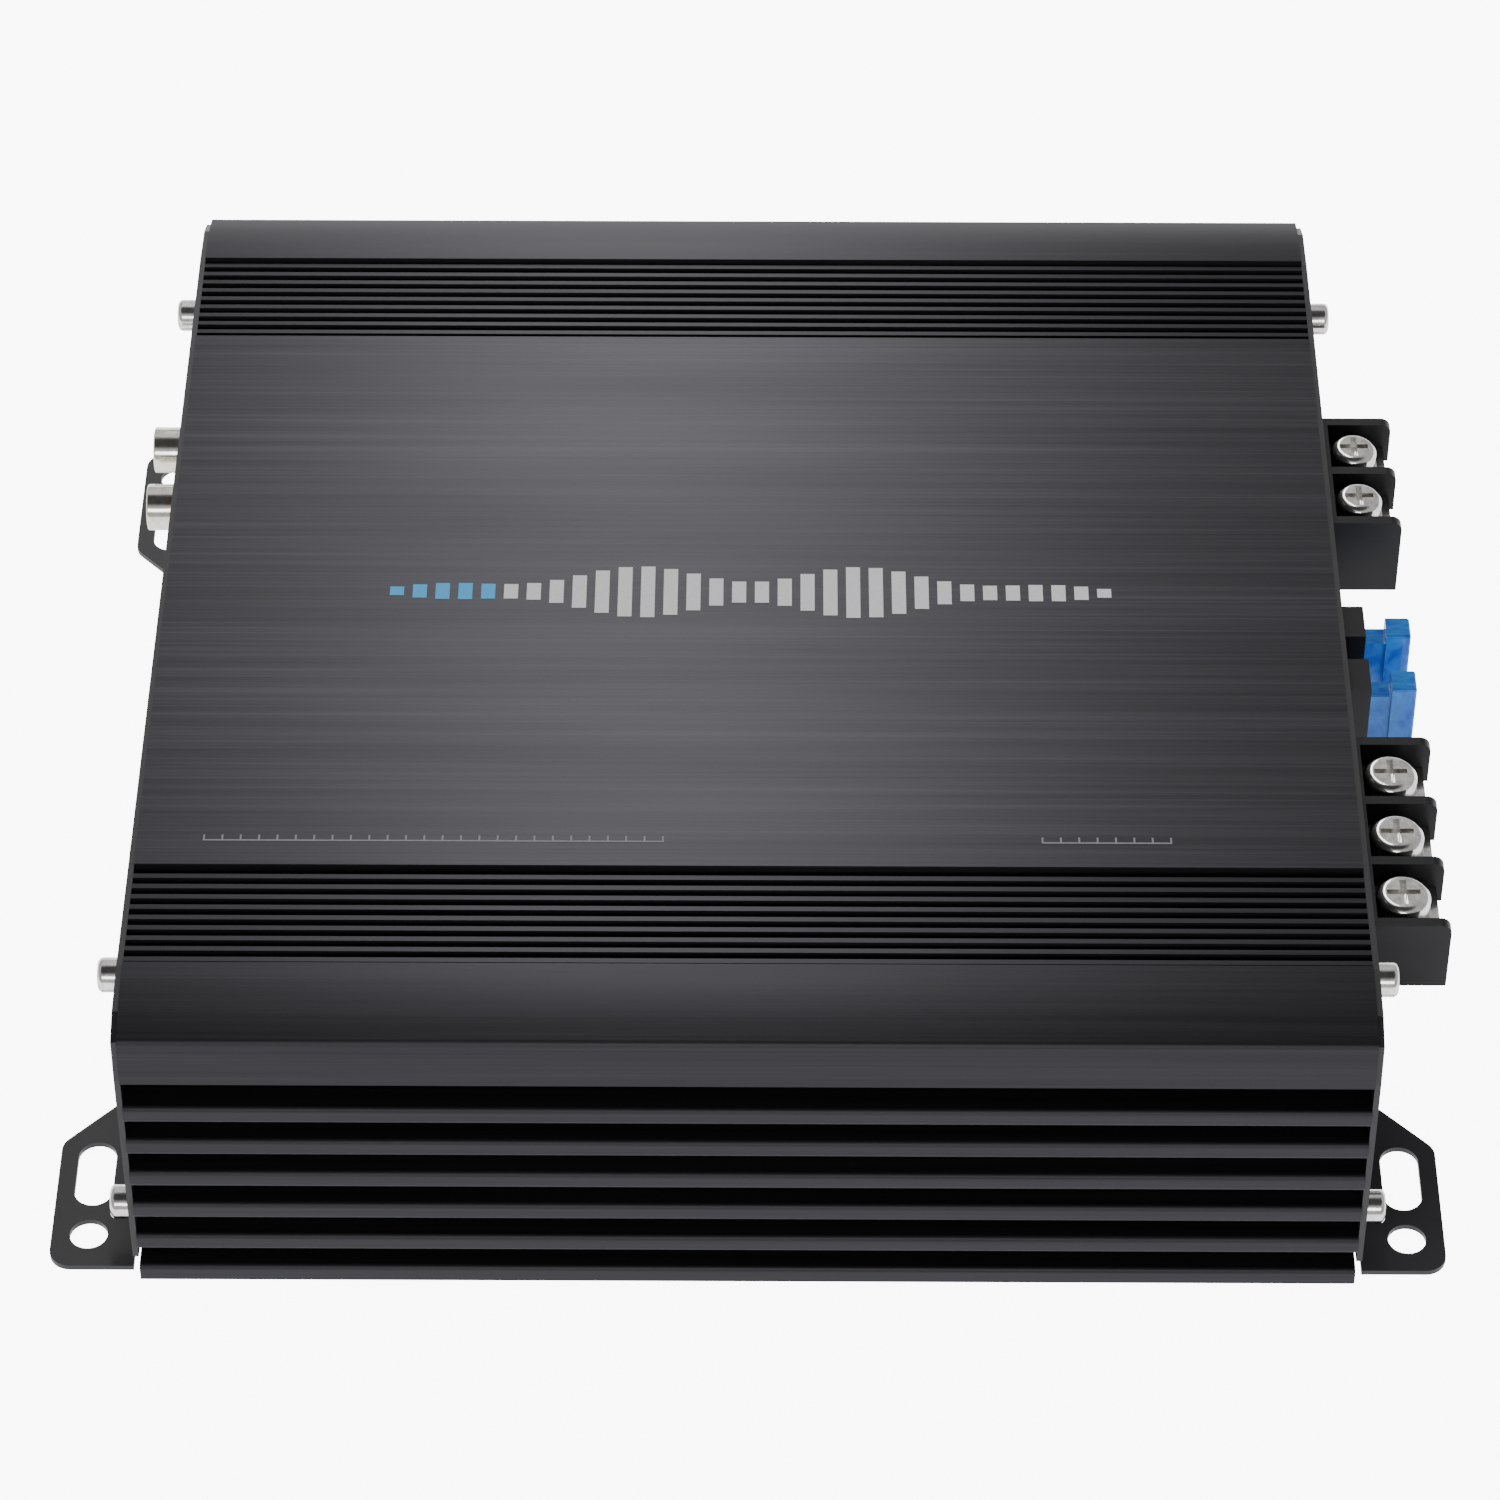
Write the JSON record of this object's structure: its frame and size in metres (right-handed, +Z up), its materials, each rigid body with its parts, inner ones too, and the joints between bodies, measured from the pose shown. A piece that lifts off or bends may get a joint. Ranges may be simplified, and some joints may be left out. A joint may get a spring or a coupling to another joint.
{
  "type": "car audio amplifier",
  "caption": "Flat black car amplifier: ribbed extruded heatsink case, end plates with mounting feet, phono inputs, barrier terminals and blade fuses.",
  "frame": {"origin": "centre of the footprint, on the surface the feet stand on", "axes": "+Z up, X along the extruded case with +X at the power and speaker terminals, -Y the front"},
  "size_m": [0.2313, 0.2114, 0.0594],
  "materials": {
    "housing": "black anodised, brushed panel",
    "end_plate": "fine black powder coat",
    "cover": "black painted sheet steel",
    "bright_screws": "bright nickel plate",
    "black_screws": "black zinc",
    "circuit_board": "green solder mask",
    "black_plastic": "moulded",
    "jack_metal": "nickel plate",
    "jack_insulator": "moulded",
    "contact_metal": "gold flash",
    "tinned": "tin plate",
    "knob_plastic": "moulded",
    "lamp_blue": "clear lens",
    "lamp_red": "clear lens",
    "fuse_blue": "translucent blue",
    "fuse_metal": "tinned zinc",
    "ferrite": "sintered",
    "copper_wire": "enamelled copper",
    "capacitor_sleeve": "shrink sleeve",
    "film_plastic": "dipped",
    "transistor_plastic": "moulded",
    "pad_rubber": "silicone",
    "bar_steel": "zinc plate",
    "print_ink": "screen-printed ink"
  },
  "bodies": {
    "case": {"board_screws": "bright_screws", "board_standoffs": "bar_steel", "bottom_cover": "cover", "bottom_cover_screws": "black_screws", "clamp_bar_screws": "bright_screws", "clamp_bars": "bar_steel", "driver_board": "circuit_board", "driver_chips": "transistor_plastic", "film_capacitors": "film_plastic", "fuse_contact_clips": "tinned", "fuse_sockets": "black_plastic", "heatsink_housing": "housing", "input_capacitors": "capacitor_sleeve", "insulating_pads": "pad_rubber", "left_end_plate": "end_plate", "left_end_plate_screws": "bright_screws", "main_circuit_board": "circuit_board", "output_inductor_core": "ferrite", "output_inductor_winding": "copper_wire", "phase_switch_body": "black_plastic", "potentiometer_bodies": "black_plastic", "power_led": "lamp_blue", "power_terminal_block": "black_plastic", "power_terminal_plates": "tinned", "power_transformer_core": "ferrite", "power_transformer_winding": "copper_wire", "power_transistors": "transistor_plastic", "protection_led": "lamp_red", "rca_centre_contacts": "contact_metal", "rca_insulators": "jack_insulator", "rca_jack_housing": "black_plastic", "rca_outer_sleeves": "jack_metal", "remote_level_socket": "black_plastic", "right_end_plate": "end_plate", "right_end_plate_screws": "bright_screws", "speaker_terminal_block": "black_plastic", "speaker_terminal_plates": "tinned", "supply_capacitors": "capacitor_sleeve"},
    "level_knob": {"level_knob": "knob_plastic"},
    "low_pass_knob": {"low_pass_knob": "knob_plastic"},
    "bass_boost_knob": {"bass_boost_knob": "knob_plastic"},
    "phase_slider": {"phase_switch_slider": "knob_plastic"},
    "fuse_1": {"fuse_body_1": "fuse_blue", "fuse_element_1": "fuse_metal"},
    "fuse_2": {"fuse_body_2": "fuse_blue", "fuse_element_2": "fuse_metal"},
    "speaker_washer_1": {"speaker_washer_1": "tinned"},
    "speaker_screw_1": {"speaker_screw_1": "tinned"},
    "speaker_washer_2": {"speaker_washer_2": "tinned"},
    "speaker_screw_2": {"speaker_screw_2": "tinned"},
    "power_washer_1": {"power_washer_1": "tinned"},
    "power_screw_1": {"power_screw_1": "tinned"},
    "power_washer_2": {"power_washer_2": "tinned"},
    "power_screw_2": {"power_screw_2": "tinned"},
    "power_washer_3": {"power_washer_3": "tinned"},
    "power_screw_3": {"power_screw_3": "tinned"}
  },
  "joints": [
    {"name": "level_turn", "type": "hinge", "parent": "case", "child": "level_knob", "pos_m": [-0.1, 0.022, 0.0315], "axis": [-1, 0, 0], "range_deg": [-140, 140]},
    {"name": "low_pass_turn", "type": "hinge", "parent": "case", "child": "low_pass_knob", "pos_m": [-0.1, 0.005, 0.0315], "axis": [-1, 0, 0], "range_deg": [-140, 140]},
    {"name": "bass_boost_turn", "type": "hinge", "parent": "case", "child": "bass_boost_knob", "pos_m": [-0.1, -0.012, 0.0315], "axis": [-1, 0, 0], "range_deg": [-140, 140]},
    {"name": "phase_slide", "type": "slide", "parent": "case", "child": "phase_slider", "axis": [0, 1, 0], "range_m": [0, 0.0032]},
    {"name": "fuse_pull_1", "type": "slide", "parent": "case", "child": "fuse_1", "axis": [1, 0, 0], "range_m": [0, 0.022]},
    {"name": "fuse_pull_2", "type": "slide", "parent": "case", "child": "fuse_2", "axis": [1, 0, 0], "range_m": [0, 0.022]},
    {"name": "speaker_lift_1", "type": "slide", "parent": "case", "child": "speaker_washer_1", "axis": [0, 0, 1], "range_m": [0, 0.0028]},
    {"name": "speaker_screw_turn_1", "type": "hinge", "parent": "speaker_washer_1", "child": "speaker_screw_1", "pos_m": [0.1079, 0.03985, 0.041], "axis": [0, 0, 1], "range_deg": [0, 1442]},
    {"name": "speaker_lift_2", "type": "slide", "parent": "case", "child": "speaker_washer_2", "axis": [0, 0, 1], "range_m": [0, 0.0028]},
    {"name": "speaker_screw_turn_2", "type": "hinge", "parent": "speaker_washer_2", "child": "speaker_screw_2", "pos_m": [0.1079, 0.05325, 0.041], "axis": [0, 0, 1], "range_deg": [0, 1442]},
    {"name": "power_lift_1", "type": "slide", "parent": "case", "child": "power_washer_1", "axis": [0, 0, 1], "range_m": [0, 0.0032]},
    {"name": "power_screw_turn_1", "type": "hinge", "parent": "power_washer_1", "child": "power_screw_1", "pos_m": [0.1083, -0.05875, 0.041], "axis": [0, 0, 1], "range_deg": [0, 1442]},
    {"name": "power_lift_2", "type": "slide", "parent": "case", "child": "power_washer_2", "axis": [0, 0, 1], "range_m": [0, 0.0032]},
    {"name": "power_screw_turn_2", "type": "hinge", "parent": "power_washer_2", "child": "power_screw_2", "pos_m": [0.1083, -0.0443, 0.041], "axis": [0, 0, 1], "range_deg": [0, 1442]},
    {"name": "power_lift_3", "type": "slide", "parent": "case", "child": "power_washer_3", "axis": [0, 0, 1], "range_m": [0, 0.0032]},
    {"name": "power_screw_turn_3", "type": "hinge", "parent": "power_washer_3", "child": "power_screw_3", "pos_m": [0.1083, -0.02985, 0.041], "axis": [0, 0, 1], "range_deg": [0, 1442]}
  ],
  "couplings": [
    {"joint": "speaker_screw_turn_1", "follows": "speaker_lift_1", "rad_per_m": 8976},
    {"joint": "speaker_screw_turn_2", "follows": "speaker_lift_2", "rad_per_m": 8976},
    {"joint": "power_screw_turn_1", "follows": "power_lift_1", "rad_per_m": 7854},
    {"joint": "power_screw_turn_2", "follows": "power_lift_2", "rad_per_m": 7854},
    {"joint": "power_screw_turn_3", "follows": "power_lift_3", "rad_per_m": 7854}
  ]
}
